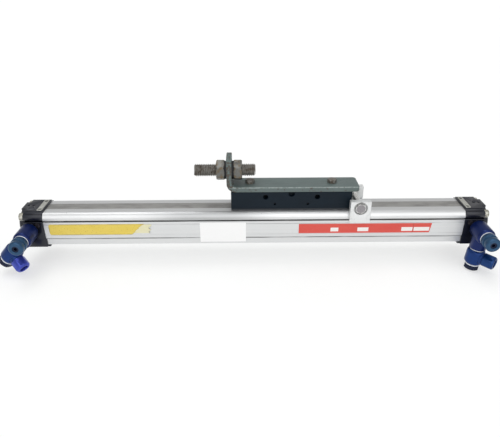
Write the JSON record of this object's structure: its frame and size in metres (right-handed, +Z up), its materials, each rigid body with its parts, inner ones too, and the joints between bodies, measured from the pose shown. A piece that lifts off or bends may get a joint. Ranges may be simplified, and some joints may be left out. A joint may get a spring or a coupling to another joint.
{
  "type": "rodless pneumatic cylinder",
  "caption": "Slotted-barrel rodless air cylinder with a band-sealed carriage, a bolted drive bracket with a threaded stud, an adjustable clamp stop and swivelling flow-control fittings.",
  "frame": {"origin": "under the middle of the barrel, level with the undersides of the end caps, at the centre of the foot hole pattern", "axes": "+X along the barrel towards the end with the clamp stop, +Y away from the side with the ports, +Z up through the carriage"},
  "size_m": [0.4857, 0.0786, 0.1091],
  "materials": {
    "barrel_aluminium": "satin anodised extrusion, drawn along its length",
    "band_steel": "matte spring steel strip, slightly oiled",
    "cap_black": "black anodised, fine bead-blasted",
    "zinc_screws": "zinc plated steel",
    "seal_rubber": "black nitrile",
    "brass_parts": "turned brass",
    "clamp_steel": "bare steel bar, ground",
    "dark_steel": "blackened steel",
    "needle_black": "blackened screw",
    "carriage_anodised": "navy-black hard anodised, satin",
    "strip_plastic": "grey acetal",
    "wiper_plastic": "black polyurethane",
    "yoke_metal": "machined",
    "piston_plastic": "moulded acetal",
    "bracket_paint": "grey-green hammered paint, chipped at the bend",
    "worn_steel": "worn steel with old plating and light rust",
    "washer_dark": "dark steel",
    "stop_aluminium": "raw machined aluminium",
    "fitting_blue": "deep blue anodised",
    "fitting_teal": "teal-blue anodised",
    "fitting_navy": "dark blue anodised",
    "fitting_light": "light violet-blue anodised",
    "washer_white": "white nylon"
  },
  "bodies": {
    "barrel": {"barrel": "barrel_aluminium", "outer_band": "band_steel", "inner_band": "band_steel", "left_end_cap": "cap_black", "left_cap_screws": "zinc_screws", "left_cap_seal": "seal_rubber", "left_cushion_sleeve": "brass_parts", "left_band_clamp": "clamp_steel", "left_clamp_screws": "dark_steel", "left_port_plug": "dark_steel", "left_hollow_bolt": "fitting_teal", "left_port_washers": "washer_white", "right_end_cap": "cap_black", "right_cap_screws": "zinc_screws", "right_cap_seal": "seal_rubber", "right_cushion_sleeve": "brass_parts", "right_band_clamp": "clamp_steel", "right_clamp_screws": "dark_steel", "right_port_plug": "dark_steel", "right_hollow_bolt": "fitting_teal", "right_port_washers": "washer_white"},
    "carriage": {"carriage_block": "carriage_anodised", "slide_strips": "strip_plastic", "band_wipers": "wiper_plastic", "yoke": "yoke_metal", "yoke_pins": "zinc_screws", "left_piston_end": "piston_plastic", "right_piston_end": "piston_plastic", "piston_seals": "seal_rubber", "piston_wear_rings": "strip_plastic", "cushion_seals": "seal_rubber", "bracket": "bracket_paint", "bracket_screws": "worn_steel", "stud": "worn_steel", "left_stud_nut": "worn_steel", "right_stud_nut": "worn_steel", "stud_washers": "washer_dark"},
    "stop": {"stop_front_jaw": "stop_aluminium", "stop_rear_jaw": "stop_aluminium", "stop_bolt": "zinc_screws"},
    "left_needle": {"left_cushion_needle": "needle_black"},
    "left_flow": {"left_flow_screw": "fitting_navy"},
    "left_swivel": {"left_port_banjo": "fitting_blue", "left_arm_bolt": "fitting_navy", "left_arm_washers": "washer_white"},
    "left_hose": {"left_hose_banjo": "fitting_blue"},
    "left_nut": {"left_union_nut": "fitting_light"},
    "right_needle": {"right_cushion_needle": "needle_black"},
    "right_flow": {"right_flow_screw": "fitting_navy"},
    "right_swivel": {"right_port_banjo": "fitting_blue", "right_arm_bolt": "fitting_navy", "right_arm_washers": "washer_white"},
    "right_hose": {"right_hose_banjo": "fitting_blue"},
    "right_nut": {"right_union_nut": "fitting_blue"}
  },
  "joints": [
    {"name": "carriage_slide", "type": "slide", "parent": "barrel", "child": "carriage", "axis": [1, 0, 0], "range_m": [-0.16, 0.0042], "deforming": ["outer_band", "inner_band"]},
    {"name": "stop_slide", "type": "slide", "parent": "barrel", "child": "stop", "axis": [1, 0, 0], "range_m": [0, 0.09]},
    {"name": "left_needle_turn", "type": "hinge", "parent": "barrel", "child": "left_needle", "pos_m": [-0.2118, -0.0182, 0.0244], "axis": [0, -1, 0], "range_deg": [0, 720]},
    {"name": "left_flow_turn", "type": "hinge", "parent": "barrel", "child": "left_flow", "pos_m": [-0.2194, -0.05, 0.0195], "axis": [0, -1, 0], "range_deg": [0, 720]},
    {"name": "left_port_swivel", "type": "hinge", "parent": "barrel", "child": "left_swivel", "pos_m": [-0.2194, -0.0306, 0.0195], "axis": [0, -1, 0], "range_deg": [-180, 180]},
    {"name": "left_hose_swivel", "type": "hinge", "parent": "left_swivel", "child": "left_hose", "pos_m": [-0.23646, -0.0306, 0.00055], "axis": [0.6691, 0, 0.7431], "range_deg": [-151, 29]},
    {"name": "left_union_turn", "type": "hinge", "parent": "left_hose", "child": "left_nut", "pos_m": [-0.23646, -0.0306, 0.00055], "axis": [0.65, -0.4848, -0.5852], "continuous": true},
    {"name": "right_needle_turn", "type": "hinge", "parent": "barrel", "child": "right_needle", "pos_m": [0.2118, -0.0182, 0.0244], "axis": [0, -1, 0], "range_deg": [0, 720]},
    {"name": "right_flow_turn", "type": "hinge", "parent": "barrel", "child": "right_flow", "pos_m": [0.2194, -0.05, 0.0195], "axis": [0, -1, 0], "range_deg": [0, 720]},
    {"name": "right_port_swivel", "type": "hinge", "parent": "barrel", "child": "right_swivel", "pos_m": [0.2194, -0.0306, 0.0195], "axis": [0, -1, 0], "range_deg": [-180, 180]},
    {"name": "right_hose_swivel", "type": "hinge", "parent": "right_swivel", "child": "right_hose", "pos_m": [0.21718, -0.0306, -0.0059], "axis": [0.0872, 0, 0.9962], "range_deg": [-134, 46]},
    {"name": "right_union_turn", "type": "hinge", "parent": "right_hose", "child": "right_nut", "pos_m": [0.21718, -0.0306, -0.0059], "axis": [0.692, -0.7193, -0.0605], "continuous": true}
  ]
}
